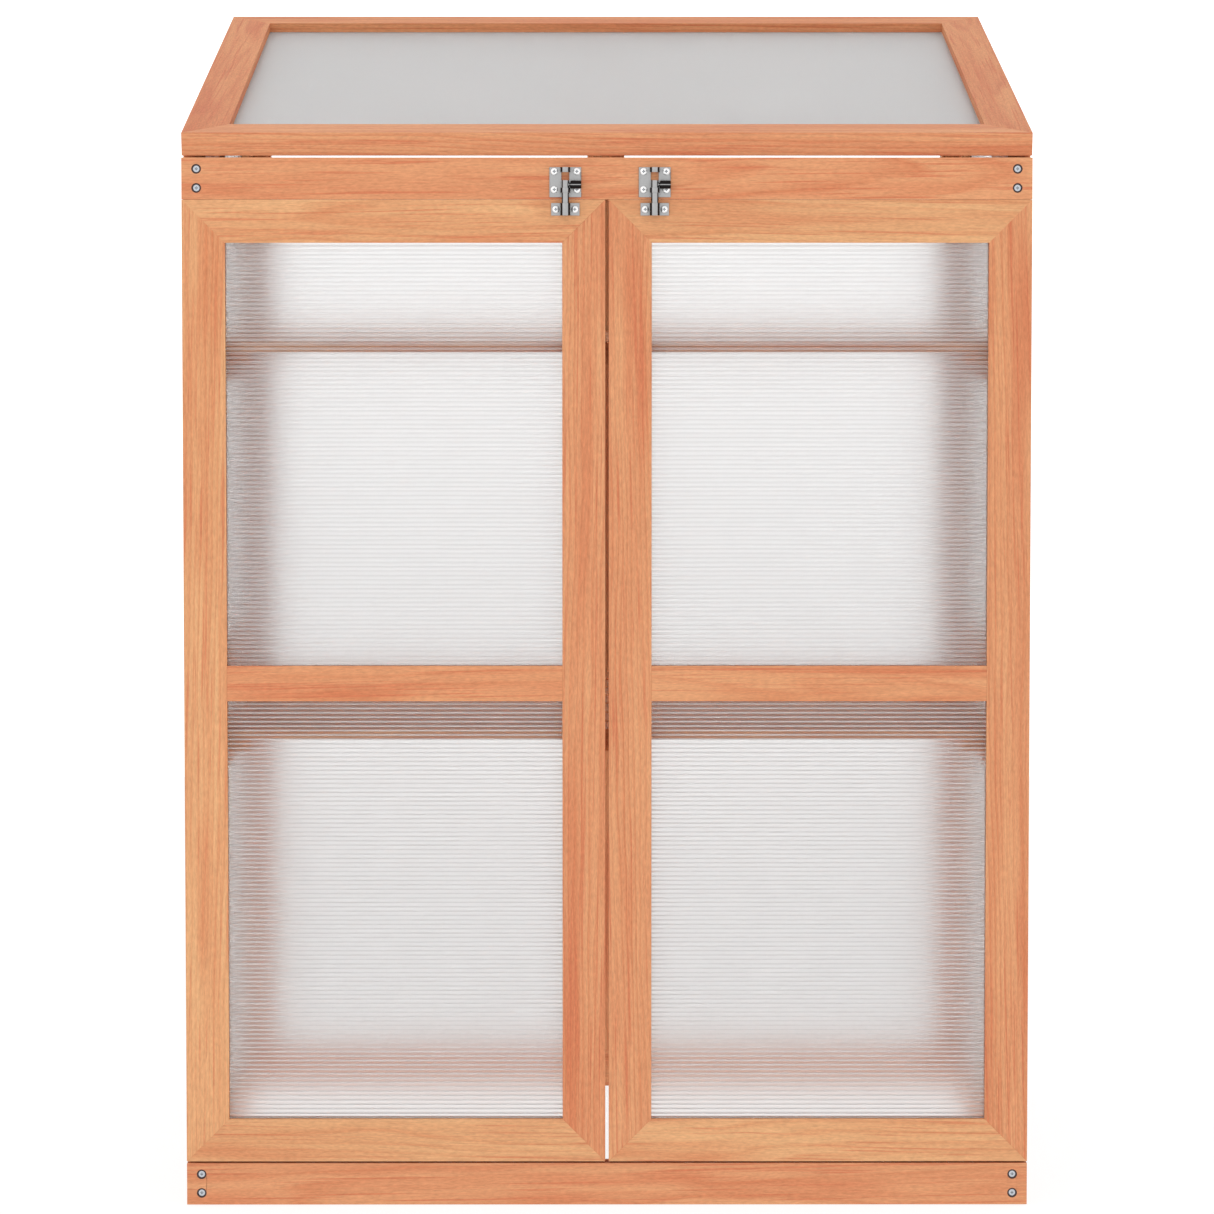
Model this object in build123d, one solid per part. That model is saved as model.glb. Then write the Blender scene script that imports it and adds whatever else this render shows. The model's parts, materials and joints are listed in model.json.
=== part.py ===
from build123d import *
import os
from math import atan2, cos, degrees, hypot, radians, sin, tan

# A cold frame: a wooden cabinet with twin-wall panes, two front doors, a sloped lid that
# hinges at the back, and two loose slatted shelves.
# Millimetres. +Z is up, the doors face -Y, and the origin is the middle of the base on the floor.

# ---- overall sizes ----
WIDTH = 760.0
DEPTH = 600.0
FRONT_HEIGHT = 967.0  # top of the lid's front edge
LID_SLOPE = 12.5  # degrees

# ---- boards ----
FRONT_RAIL_T = 20.0
SIDE_T = 20.0
BACK_T = 20.0
DOOR_T = 16.0
LID_T = 21.0
BOTTOM_RAIL_H = 37.8
TOP_RAIL_H = 37.3
STILE_W = 38.0
CENTRE_STILE_W = 37.6
DOOR_BOARD_W = 38.5
DOOR_MID_RAIL_H = 31.7
SIDE_MID_RAIL_H = 31.7
LID_BOARD_W = 40.0

# ---- gaps between pieces ----
LID_GAP = 0.6
DOOR_TOP_GAP = 0.2
DOOR_BOTTOM_GAP = 1.7
DOOR_CENTRE_GAP = 3.1
DOOR_BACK_GAP = 4.0
SHELF_SIDE_GAP = 2.0
SHELF_FRONT_GAP = 9.0
SHELF_BACK_GAP = 9.0

# ---- panes, let into grooves in the boards ----
PANE_T = 4.0
PANE_BITE = 8.0
PANE_PLAY = 1.0
LID_PANE_DEPTH = 9.0  # from the lid's top face down to the pane

# ---- shelves ----
UPPER_SHELF_Z = 779.5
LOWER_SHELF_Z = 429.5
SLAT_COUNT = 7
SLAT_W = 66.0
SLAT_T = 9.0
BATTEN_W = 36.0
BATTEN_T = 10.5
CLEAT_W = 15.0
CLEAT_H = 16.0

# ---- door hinges ----
DOOR_HINGE_LENGTH = 50.0
DOOR_HINGE_LEAF_W = 15.0
DOOR_HINGE_LEAF_T = 1.0
DOOR_BARREL_GAP = 0.1  # beside the barrel, to the door and to the side
DOOR_PIN_R = 1.0
DOOR_HINGE_INSET = 100.0  # from the door's top or bottom edge to the hinge's middle
HINGE_EDGE_CHAMFER = 1.2  # on the two edges that face each other beside the barrel

# ---- lid hinges ----
LID_HINGE_LENGTH = 60.0
LID_HINGE_LEAF_W = 18.0
LID_HINGE_LEAF_T = 1.5
LID_BARREL_R = 3.0
LID_PIN_R = 1.5
LID_BARREL_GAP = 0.3
LID_HINGE_X = 250.0

LEAF_RELIEF = 0.3
LEAF_SCREWS_AT = (0.2, 0.8)  # shares of a hinge's length
PIN_PLAY = 0.05
PIN_STANDS_OUT = 0.6
PIN_HEAD_GAP = 0.1

# ---- bolts ----
BOLT_X = (-37.2, 42.6)  # where each rod runs
BOLT_PLATE_T = 1.2
BOLT_PLATE_W = 28.4
BOLT_PLATE_H = 26.8
BOLT_PLATE_LIFT = 1.9  # from the front top rail's lower edge up to the plate
PLATE_SCREW_X = (-9.9, 10.3)  # from the rod
PLATE_SCREW_LOW = 6.9  # from the plate's lower edge
PLATE_SCREW_HIGH = 3.8  # from the plate's upper edge
STRAP_WALL = 1.14
STRAP_H = 4.5
LOWER_STRAP_LIFT = 4.0  # from the plate's lower edge
BOLT_ROD_R = 3.2
BOLT_ROD_PLAY = 0.06
BOLT_ROD_CHAMFER = 0.8
KNOB_R = 3.7
KNOB_LENGTH = 11.1
KNOB_NECK_R = 1.7
KNOB_NECK = 1.4
KNOB_CHAMFER = 0.7
KNOB_GAP = 1.0  # behind the knob, to the plate
KNOB_DROP = 0.2  # from the rod's top down to the knob
WINDOW_H = 7.2
KEEPER_W = 25.3
KEEPER_H = 11.2
KEEPER_DROP = 3.0  # from the door's top edge down to the keeper
KEEPER_SCREW_X = (-8.5, 8.5)  # from the rod
BOLT_ENGAGED = 7.0

# ---- lid stay: an arm on the lid whose foot runs in a slotted track on the left side ----
STAY_FOOT_SETBACK = 88.7  # from the side's front edge back to the arm's foot, lid shut
STAY_DROP = 14.0  # from the lid's underside to the pivot
STAY_ARM_W = 12.0
STAY_ARM_T = 2.5
STAY_PIN_R = 2.5
STAY_TRACK_TILT = 5.5  # degrees between the track and the lid's underside
STAY_TRACK_W = 16.0
STAY_TRACK_T = 2.0
STAY_TRACK_TAIL = 35.0  # from the foot, lid open, to the track's rear screw
STAY_SLOT_PLAY = 0.1
STAY_SLOT_OVERRUN = 2.0  # past the foot at each end of its way
STAY_SIDE_GAP = 0.5
STAY_HEAD_R = 4.5
STAY_HEAD_T = 1.2
BRACKET_T = 1.5
BRACKET_LENGTH = 30.0
BRACKET_W = 18.0
BRACKET_SCREW_INSET = 6.0
LID_OPENS = 55.0  # degrees

# ---- screws: head radius, shank radius, length ----
FRAME_SCREW = (2.9, 1.7, 45.0)
CLEAT_SCREW = (3.0, 1.6, 28.0)
CLEAT_COUNTERSINK_R = 3.6
BOLT_SCREW = (3.2, 1.3, 11.0)
BOLT_SCREW_RISE = 0.8
HINGE_SCREW = (2.0, 1.0, 9.0)
CROWN = ((0.85, 0.6), (0.5, 1.0))  # a raised head's outline, as shares of its radius and rise
RECESS_SHARE = 0.85  # length of the cross recess beside the head's radius
RECESS_DEPTH_SHARE = 0.8  # depth of the recess beside the head's cone
RECESS_W = 0.9
SCREW_PLAY = 0.1
FRAME_COUNTERSINK_R = 4.4
SCREW_FROM_SIDE = 13.3
SCREW_FROM_EDGE = 10.1
SCREW_PITCH = 17.0
BACK_SCREW_DROP = 20.2  # from the sides' top down to the upper screws in the back

CUT_PAST = 1.0  # how far a cut runs on past the face where it comes out

# ---- places worked out from the sizes above ----
SLOPE = radians(LID_SLOPE)
HALF_W = WIDTH / 2
FRONT = -DEPTH / 2
BACK = DEPTH / 2
SIDE_INNER = HALF_W - SIDE_T
SIDE_FRONT = FRONT + FRONT_RAIL_T
SIDE_BACK = BACK - BACK_T
OPENING_FRONT = SIDE_FRONT + STILE_W
OPENING_BACK = SIDE_BACK - STILE_W
LID_LENGTH = (DEPTH - LID_T * sin(SLOPE)) / cos(SLOPE)
LID_TOP = Plane(origin=(0, FRONT, FRONT_HEIGHT), x_dir=(1, 0, 0), z_dir=(0, -sin(SLOPE), cos(SLOPE)))
LID_UNDERSIDE = LID_TOP.offset(-LID_T)
FRAME_TOP = LID_UNDERSIDE.offset(-LID_GAP)


def height_under(plane, y):
    """Height of a plane that slopes with the lid, at the depth y."""
    return plane.origin.Z + (y - plane.origin.Y) * tan(SLOPE)


TOP_RAIL_BOTTOM = height_under(FRAME_TOP, FRONT) - TOP_RAIL_H
DOOR_BOTTOM = BOTTOM_RAIL_H + DOOR_BOTTOM_GAP
DOOR_TOP = TOP_RAIL_BOTTOM - DOOR_TOP_GAP
DOOR_HEIGHT = DOOR_TOP - DOOR_BOTTOM
DOOR_WIDTH = HALF_W - DOOR_CENTRE_GAP / 2
DOOR_BACK = SIDE_FRONT - DOOR_BACK_GAP
DOOR_FRONT = DOOR_BACK - DOOR_T
SIDE_MID_RAIL_Z = (DOOR_BOTTOM + DOOR_TOP) / 2
SHELF_FRONT = SIDE_FRONT - DOOR_BACK_GAP + SHELF_FRONT_GAP
SHELF_BACK = SIDE_BACK - SHELF_BACK_GAP
SHELF_HALF_W = SIDE_INNER - SHELF_SIDE_GAP
SLAT_PITCH = (SHELF_BACK - SHELF_FRONT - SLAT_W) / (SLAT_COUNT - 1)
DOOR_BARREL_R = DOOR_BACK_GAP / 2 - DOOR_BARREL_GAP
DOOR_PIN = (HALF_W - DOOR_BARREL_R, SIDE_FRONT - DOOR_BACK_GAP / 2)
LID_PIN = (BACK + LID_BARREL_R + LID_BARREL_GAP, height_under(LID_UNDERSIDE, BACK) - LID_GAP / 2)


# ---- shapes ----
def outline(corners):
    return make_face(Polyline(*corners, close=True))


def slab(plane, corners, thickness, lift=0.0):
    """A flat piece whose outline is drawn on a plane, standing off it by lift."""
    return extrude(plane.offset(lift) * outline(corners), amount=thickness, dir=plane.z_dir)


def block(low, high):
    """A box between two opposite corners."""
    size = [b - a for a, b in zip(low, high)]
    return Pos(*low) * Box(*size, align=(Align.MIN, Align.MIN, Align.MIN))


def rectangle(left, right, bottom, top):
    return [(left, bottom), (right, bottom), (right, top), (left, top)]


def mitred(left, right, bottom, top, board):
    """Outlines of four boards round a rectangle, with their corners cut along the diagonal."""
    inner = rectangle(left + board, right - board, bottom + board, top - board)
    outer = rectangle(left, right, bottom, top)
    names = ("bottom", "right", "top", "left")
    return {
        name: [outer[i], outer[(i + 1) % 4], inner[(i + 1) % 4], inner[i]]
        for i, name in enumerate(names)
    }


def pane(plane, corners, lift, margin):
    """A pane, or the room for it, that reaches past its opening by a margin on every side."""
    grown = offset(outline(corners), amount=margin, kind=Kind.INTERSECTION)
    return extrude(plane.offset(lift) * grown, amount=PANE_T, dir=plane.z_dir)


def panes_and_room(plane, openings, lift):
    panes = [pane(plane, corners, lift, PANE_BITE) for corners in openings]
    room = [pane(plane, corners, lift, PANE_BITE + PANE_PLAY) for corners in openings]
    return panes, room


def under_lid(shape):
    """The part of a shape below the frame's sloped top."""
    return split(shape, bisect_by=FRAME_TOP, keep=Keep.BOTTOM)


def rod(start, end, radius):
    """A round bar between two points."""
    a, b = Vector(*start), Vector(*end)
    return Plane(origin=a, z_dir=b - a) * Cylinder(
        radius, (b - a).length, align=(Align.CENTER, Align.CENTER, Align.MIN)
    )


def turned(profile):
    """A solid turned about Z from points given as radius and height."""
    points = [(r, 0, z) for r, z in profile]
    return revolve(make_face(Polyline(*points, close=True)), axis=Axis.Z)


# ---- screws ----
def screw(size, rise=0.0):
    """A cross-head screw pointing down, its head's rim at Z 0 and its crown higher by rise."""
    head, shank, length = size
    cone = head - shank
    body = turned(
        [(0, 0), (head, 0), (shank, -cone), (shank, shank - length), (0, -length)]
    )
    if rise:
        crown = [(across * head, up * rise) for across, up in CROWN]
        body += turned([(0, 0), (head, 0), *crown, (0, rise)])
    reach = head * RECESS_SHARE
    depth = cone * RECESS_DEPTH_SHARE + rise
    for wide, deep in ((reach, RECESS_W), (RECESS_W, reach)):
        body -= Pos(0, 0, rise) * Box(wide, deep, 2 * depth)
    return body


def screw_hole(size, rim):
    """The countersunk hole for a screw, its mouth of radius rim at Z 0."""
    _, shank, length = size
    wall = shank + SCREW_PLAY
    return turned(
        [(0, 0), (rim, 0), (wall, wall - rim), (wall, -length - rim), (0, -length - rim)]
    )


def screws_at(seats, size, rim=None, rise=0.0):
    """Screws and their holes on seats, which are planes that face out of the surface."""
    mouth = rim or size[0] + SCREW_PLAY
    sink = mouth - size[0] - SCREW_PLAY if rim else 0.0
    fixed = [seat.offset(-sink) * screw(size, rise) for seat in seats]
    holes = [seat * screw_hole(size, mouth) for seat in seats]
    return fixed, holes


def seat(point, out):
    return Plane(origin=point, z_dir=out)


def boxes_meet(a, b):
    return all(
        low_a < high_b and low_b < high_a
        for low_a, high_a, low_b, high_b in zip(
            tuple(a.min), tuple(a.max), tuple(b.min), tuple(b.max)
        )
    )


def drilled(shape, holes):
    """A piece with every hole that reaches it cut out."""
    box = shape.bounding_box()
    for hole in holes:
        if boxes_meet(box, hole.bounding_box()):
            shape = shape - hole
    return shape


def joined(pieces):
    """Separate solids that share one node."""
    solids = [s for p in pieces for s in (p.solids() if hasattr(p, "solids") else [p])]
    return Compound(children=solids)


def flipped(pieces, about=Plane.YZ):
    return [mirror(piece, about=about) for piece in pieces]


# ---- hinges ----
class Hinge:
    """One butt hinge about local Z, from Z 0 up. Each leaf reaches along -X from the pin."""

    def __init__(self, length, leaf_w, leaf_t, barrel_r, pin_r):
        self.length, self.leaf_w, self.leaf_t = length, leaf_w, leaf_t
        self.barrel_r, self.pin_r = barrel_r, pin_r
        third = length / 3
        self.outer = ((0, third - LEAF_RELIEF), (2 * third + LEAF_RELIEF, length))
        self.middle = ((third, 2 * third),)

    def leaf(self, knuckles, seat_y):
        """A leaf that lies on a face seat_y behind the pin, its screws and their holes."""
        near = -self.barrel_r - LEAF_RELIEF
        face = self.leaf_t - seat_y
        plate = block((-self.leaf_w, -seat_y, 0), (near, face, self.length))
        for low, high in knuckles:
            plate += block((near, -seat_y, low), (0, face, high))
            plate += Pos(0, 0, low) * Cylinder(
                self.barrel_r, high - low, align=(Align.CENTER, Align.CENTER, Align.MIN)
            )
        bore = self.pin_r + PIN_PLAY
        plate -= rod((0, 0, -CUT_PAST), (0, 0, self.length + CUT_PAST), bore)
        column = (near - self.leaf_w) / 2
        spots = [seat((column, face, share * self.length), (0, 1, 0)) for share in LEAF_SCREWS_AT]
        screws, holes = screws_at(spots, HINGE_SCREW)
        return drilled(plate, holes), screws, holes

    def pin(self):
        body = rod((0, 0, -PIN_STANDS_OUT), (0, 0, self.length + PIN_STANDS_OUT), self.pin_r)
        head = turned([(0, 0), (self.barrel_r, 0), (self.pin_r, PIN_STANDS_OUT), (0, PIN_STANDS_OUT)])
        return body + Pos(0, 0, self.length + PIN_HEAD_GAP) * head


def placed(where, group):
    return [where * piece for piece in group]


def build_door_hinges():
    """Both hinges of the right door: leaves, screws and holes for the door and for the frame."""
    hinge = Hinge(
        DOOR_HINGE_LENGTH, DOOR_HINGE_LEAF_W, DOOR_HINGE_LEAF_T, DOOR_BARREL_R, DOOR_PIN_R
    )
    seat_y = DOOR_BACK_GAP / 2
    on_door = hinge.leaf(hinge.outer, seat_y)
    on_frame = hinge.leaf(hinge.middle, seat_y)
    parts = {"door": ([], [], []), "frame": ([], [], []), "pins": []}
    for z in (DOOR_BOTTOM + DOOR_HINGE_INSET, DOOR_TOP - DOOR_HINGE_INSET):
        where = Pos(*DOOR_PIN, z - DOOR_HINGE_LENGTH / 2)
        parts["pins"].append(where * hinge.pin())
        for key, made in (("door", on_door), ("frame", on_frame)):
            for store, group in zip(parts[key], ([made[0]], made[1], made[2])):
                turned_group = group if key == "door" else flipped(group, Plane.XZ)
                store.extend(placed(where, turned_group))
    return parts


def build_lid_hinges():
    """Both lid hinges: leaves, screws and holes for the lid and for the frame."""
    hinge = Hinge(LID_HINGE_LENGTH, LID_HINGE_LEAF_W, LID_HINGE_LEAF_T, LID_BARREL_R, LID_PIN_R)
    pin_y, pin_z = LID_PIN
    lid_seat = LID_TOP.to_local_coords(Vector(0, pin_y, pin_z)).Y - LID_LENGTH
    on_lid = hinge.leaf(hinge.outer, lid_seat)
    on_frame = hinge.leaf(hinge.middle, pin_y - BACK)
    parts = {"lid": ([], [], []), "frame": ([], [], []), "pins": []}
    for x in (-LID_HINGE_X, LID_HINGE_X):
        start = (x - LID_HINGE_LENGTH / 2, pin_y, pin_z)
        up_lid = Plane(origin=start, x_dir=(0, sin(SLOPE), -cos(SLOPE)), z_dir=(1, 0, 0))
        down_back = Plane(origin=start, x_dir=(0, 0, 1), z_dir=(1, 0, 0))
        parts["pins"].append(up_lid * hinge.pin())
        for store, group in zip(parts["lid"], ([on_lid[0]], on_lid[1], on_lid[2])):
            store.extend(placed(up_lid, group))
        for store, group in zip(parts["frame"], ([on_frame[0]], on_frame[1], on_frame[2])):
            store.extend(placed(down_back, flipped(group, Plane.XZ)))
    return parts


# ---- bolts ----
ROD_OUT = BOLT_PLATE_T + KNOB_R + KNOB_GAP  # from the rail's face to the rod's middle
PLATE_BOTTOM = TOP_RAIL_BOTTOM + BOLT_PLATE_LIFT
PLATE_TOP = PLATE_BOTTOM + BOLT_PLATE_H
KEEPER_TOP = DOOR_TOP - KEEPER_DROP
KEEPER_BOTTOM = KEEPER_TOP - KEEPER_H
UPPER_STRAP_BOTTOM = PLATE_TOP - STRAP_H
LOWER_STRAP_BOTTOM = PLATE_BOTTOM + LOWER_STRAP_LIFT
ROD_BOTTOM = KEEPER_TOP - BOLT_ENGAGED
ROD_TOP = UPPER_STRAP_BOTTOM - WINDOW_H
KNOB_Z = ROD_TOP - KNOB_R - KNOB_DROP
ROD_Y = FRONT - ROD_OUT
STRAP_R = BOLT_ROD_R + BOLT_ROD_PLAY + STRAP_WALL


def strap(x, bottom, height, face):
    """A pressed loop that a rod runs through, standing on a plate."""
    loop = block((x - STRAP_R, ROD_Y, bottom), (x + STRAP_R, face, bottom + height))
    return loop + rod((x, ROD_Y, bottom), (x, ROD_Y, bottom + height), STRAP_R)


def rod_way(x, bottom, height):
    start, end = bottom - CUT_PAST, bottom + height + CUT_PAST
    return rod((x, ROD_Y, start), (x, ROD_Y, end), BOLT_ROD_R + BOLT_ROD_PLAY)


def plate_screws(x, face, columns, rows):
    spots = [seat((x + dx, face, z), (0, -1, 0)) for dx in columns for z in rows]
    return screws_at(spots, BOLT_SCREW, rise=BOLT_SCREW_RISE)


def build_bolt_plate(x):
    """The plate on the front top rail with its two straps and the window between them."""
    left = x - BOLT_PLATE_W / 2
    face = FRONT - BOLT_PLATE_T
    plate = block((left, face, PLATE_BOTTOM), (left + BOLT_PLATE_W, FRONT, PLATE_TOP))
    plate -= block(
        (x - WINDOW_H / 2, face - CUT_PAST, ROD_TOP),
        (x + WINDOW_H / 2, FRONT + CUT_PAST, UPPER_STRAP_BOTTOM),
    )
    for bottom in (LOWER_STRAP_BOTTOM, UPPER_STRAP_BOTTOM):
        plate += strap(x, bottom, STRAP_H, face)
        plate -= rod_way(x, bottom, STRAP_H)
    rows = (PLATE_BOTTOM + PLATE_SCREW_LOW, PLATE_TOP - PLATE_SCREW_HIGH)
    screws, holes = plate_screws(x, face, PLATE_SCREW_X, rows)
    return drilled(plate, holes), screws, holes


def build_keeper(x):
    """The plate on the door with the strap that the rod drops into."""
    left = x - KEEPER_W / 2
    face = DOOR_FRONT - BOLT_PLATE_T
    plate = block((left, face, KEEPER_BOTTOM), (left + KEEPER_W, DOOR_FRONT, KEEPER_TOP))
    plate += strap(x, KEEPER_BOTTOM, KEEPER_H, face)
    plate -= rod_way(x, KEEPER_BOTTOM, KEEPER_H)
    middle = (KEEPER_BOTTOM + KEEPER_TOP) / 2
    screws, holes = plate_screws(x, face, KEEPER_SCREW_X, (middle,))
    return drilled(plate, holes), screws, holes


def build_bolt(x):
    """The sliding rod and the knob on its right, each a solid."""
    shaft = rod((x, ROD_Y, ROD_BOTTOM), (x, ROD_Y, ROD_TOP), BOLT_ROD_R)
    shaft = chamfer(shaft.edges().group_by(Axis.Z)[0], BOLT_ROD_CHAMFER)
    start = x + BOLT_ROD_R + KNOB_NECK
    knob = rod((start, ROD_Y, KNOB_Z), (start + KNOB_LENGTH - KNOB_NECK, ROD_Y, KNOB_Z), KNOB_R)
    knob = chamfer(knob.edges(), KNOB_CHAMFER)
    knob += rod((x, ROD_Y, KNOB_Z), (start, ROD_Y, KNOB_Z), KNOB_NECK_R)
    return [shaft - knob, knob]


# ---- doors ----
def build_right_door():
    """The boards and panes of the right door, as lists to be drilled."""
    plane = Plane(origin=(0, DOOR_BACK, 0), x_dir=(1, 0, 0), z_dir=(0, -1, 0))
    left = HALF_W - DOOR_WIDTH
    boards = mitred(left, HALF_W, DOOR_BOTTOM, DOOR_TOP, DOOR_BOARD_W)
    inner_left = left + DOOR_BOARD_W
    inner_right = HALF_W - DOOR_BOARD_W
    mid = (DOOR_BOTTOM + DOOR_TOP) / 2
    mid_low = mid - DOOR_MID_RAIL_H / 2
    mid_high = mid + DOOR_MID_RAIL_H / 2
    boards["mid"] = rectangle(inner_left, inner_right, mid_low, mid_high)
    openings = [
        rectangle(inner_left, inner_right, DOOR_BOTTOM + DOOR_BOARD_W, mid_low),
        rectangle(inner_left, inner_right, mid_high, DOOR_TOP - DOOR_BOARD_W),
    ]
    panes, room = panes_and_room(plane, openings, (DOOR_T - PANE_T) / 2)
    made = {name: slab(plane, corners, DOOR_T) for name, corners in boards.items()}
    made = {name: drilled(board, room) for name, board in made.items()}
    back_edge = (
        made["right"].edges().filter_by(Axis.Z).filter_by_position(Axis.X, HALF_W, HALF_W)
    )
    made["right"] = chamfer(back_edge.sort_by(Axis.Y)[-1], HINGE_EDGE_CHAMFER)
    return made, panes


def build_door(side, hinges, keeper):
    """One door with its hinge leaves and keeper, as named nodes."""
    boards, panes = build_right_door()
    leaves, hinge_screws, hinge_holes = hinges
    if side == "left":
        boards = dict(zip(boards, flipped(boards.values())))
        panes = flipped(panes)
        leaves, hinge_screws, hinge_holes = (flipped(group) for group in hinges)
    plate, keeper_screws, keeper_holes = keeper
    holes = hinge_holes + keeper_holes
    names = {
        "right": "hinge_stile",
        "left": "meeting_stile",
        "top": "top_rail",
        "mid": "mid_rail",
        "bottom": "bottom_rail",
    }
    nodes = {f"{side}_door_{names[key]}": drilled(board, holes) for key, board in boards.items()}
    nodes[f"{side}_door_panes"] = joined(panes)
    nodes[f"{side}_door_hinge_leaves"] = joined(leaves)
    nodes[f"{side}_door_bolt_keeper"] = plate
    nodes[f"{side}_door_screws"] = joined(hinge_screws + keeper_screws)
    return nodes


# ---- lid ----
def build_lid():
    """The lid's four mitred boards and its pane."""
    under = LID_UNDERSIDE
    boards = mitred(-HALF_W, HALF_W, 0, LID_LENGTH, LID_BOARD_W)
    opening = rectangle(
        LID_BOARD_W - HALF_W, HALF_W - LID_BOARD_W, LID_BOARD_W, LID_LENGTH - LID_BOARD_W
    )
    panes, room = panes_and_room(under, [opening], LID_T - LID_PANE_DEPTH - PANE_T)
    names = {"bottom": "front_rail", "top": "back_rail", "left": "left_rail", "right": "right_rail"}
    nodes = {
        f"lid_{names[key]}": drilled(slab(under, corners, LID_T), room)
        for key, corners in boards.items()
    }
    nodes["lid_pane"] = panes[0]
    return nodes


# ---- lid stay ----
# The pivot is as far from the lid's hinge line as the foot is from the pivot, and the track's
# line passes through the hinge line. So the arm turns on the lid by twice the lid's angle.
PIN_LOCAL = LID_UNDERSIDE.to_local_coords(Vector(0, *LID_PIN))
TRACK_TILT = SLOPE + radians(STAY_TRACK_TILT)
PIVOT_DROP = PIN_LOCAL.Z + STAY_DROP  # square to the lid, from the hinge line to the pivot
HALF_WAY = (LID_PIN[0] - SIDE_FRONT - STAY_FOOT_SETBACK) / (2 * cos(TRACK_TILT))
STAY_REACH = (HALF_WAY - PIVOT_DROP * sin(radians(STAY_TRACK_TILT))) / cos(radians(STAY_TRACK_TILT))
PIVOT_LOCAL = Vector(0, PIN_LOCAL.Y - STAY_REACH, -STAY_DROP)
ARM_LENGTH = hypot(STAY_REACH, PIVOT_DROP)
PIVOT_ANGLE = degrees(atan2(PIVOT_DROP, STAY_REACH))
ARM_ANGLE = STAY_TRACK_TILT - PIVOT_ANGLE  # between the track and the line to the pivot, lid shut
TRACK_OUTER = -SIDE_INNER
TRACK_INNER = TRACK_OUTER + STAY_TRACK_T
ARM_OUTER = TRACK_INNER + STAY_SIDE_GAP
ARM_INNER = ARM_OUTER + STAY_ARM_T


def along_track(distance):
    """The point on the track's line at a distance from the lid's hinge line."""
    return (LID_PIN[0] - distance * cos(TRACK_TILT), LID_PIN[1] - distance * sin(TRACK_TILT))


def foot_distance(opened):
    return 2 * ARM_LENGTH * cos(radians(ARM_ANGLE + opened))


def bar(start, end, radius, x_low, x_high):
    """A flat bar with round ends between two points given as y and z."""
    length = hypot(end[0] - start[0], end[1] - start[1])
    turn = degrees(atan2(end[1] - start[1], end[0] - start[0]))
    flat = Plane(origin=(x_low, *start), x_dir=(0, 1, 0), z_dir=(1, 0, 0))
    shape = SlotCenterToCenter(length, 2 * radius)
    return extrude(
        flat * (Rot(0, 0, turn) * (Pos(length / 2, 0) * shape)), amount=x_high - x_low, dir=(1, 0, 0)
    )


def build_stay_track():
    """The slotted track, its screws and holes."""
    shut, opened = foot_distance(0), foot_distance(LID_OPENS)
    slot_r = STAY_PIN_R + STAY_SLOT_PLAY
    on_stile = OPENING_FRONT - STILE_W / 2
    ends = (opened - STAY_TRACK_TAIL, (LID_PIN[0] - on_stile) / cos(TRACK_TILT))
    track = bar(along_track(ends[0]), along_track(ends[1]), STAY_TRACK_W / 2, TRACK_OUTER, TRACK_INNER)
    slot = bar(
        along_track(opened - STAY_SLOT_OVERRUN),
        along_track(shut + STAY_SLOT_OVERRUN),
        slot_r,
        TRACK_OUTER - CUT_PAST,
        TRACK_INNER + CUT_PAST,
    )
    spots = [seat((TRACK_INNER, *along_track(end)), (1, 0, 0)) for end in ends]
    screws, holes = screws_at(spots, HINGE_SCREW)
    return drilled(track - slot, holes), screws, holes


def pivot_point():
    world = LID_UNDERSIDE.from_local_coords(PIVOT_LOCAL)
    return (world.Y, world.Z)


def build_stay_arm():
    """The arm with its foot pin, which are two solids."""
    pivot, foot = pivot_point(), along_track(foot_distance(0))
    arm = bar(pivot, foot, STAY_ARM_W / 2, ARM_OUTER, ARM_INNER)
    bore = STAY_PIN_R + PIN_PLAY
    arm -= rod((ARM_OUTER - CUT_PAST, *pivot), (ARM_INNER + CUT_PAST, *pivot), bore)
    pin = rod((TRACK_OUTER + PIN_PLAY, *foot), (ARM_INNER, *foot), STAY_PIN_R)
    pin += rod((ARM_INNER, *foot), (ARM_INNER + STAY_HEAD_T, *foot), STAY_HEAD_R)
    return joined([arm - pin, pin])


def build_stay_bracket():
    """The angle bracket under the lid's left rail, its pivot pin, screws and holes."""
    pivot = pivot_point()
    leg_outer = ARM_INNER + PIN_PLAY
    start, end = PIVOT_LOCAL.Y - BRACKET_LENGTH / 2, PIVOT_LOCAL.Y + BRACKET_LENGTH / 2
    base = slab(
        LID_UNDERSIDE, rectangle(leg_outer, leg_outer + BRACKET_W, start, end), BRACKET_T, -BRACKET_T
    )
    leg_height = STAY_DROP + STAY_ARM_W / 2
    leg = slab(
        LID_UNDERSIDE, rectangle(leg_outer, leg_outer + BRACKET_T, start, end), leg_height, -leg_height
    )
    pin = rod((ARM_OUTER - PIN_PLAY, *pivot), (leg_outer + BRACKET_T, *pivot), STAY_PIN_R)
    pin += rod(
        (leg_outer + BRACKET_T, *pivot), (leg_outer + BRACKET_T + STAY_HEAD_T, *pivot), STAY_HEAD_R
    )
    under = LID_UNDERSIDE.offset(-BRACKET_T)
    down = LID_UNDERSIDE.z_dir * -1
    column = leg_outer + (BRACKET_W + STAY_HEAD_R) / 2
    rows = (start + BRACKET_SCREW_INSET, end - BRACKET_SCREW_INSET)
    spots = [seat(under.from_local_coords(Vector(column, y, 0)), down) for y in rows]
    screws, holes = screws_at(spots, HINGE_SCREW)
    return drilled(base + leg - pin, holes), pin, screws, holes


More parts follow.
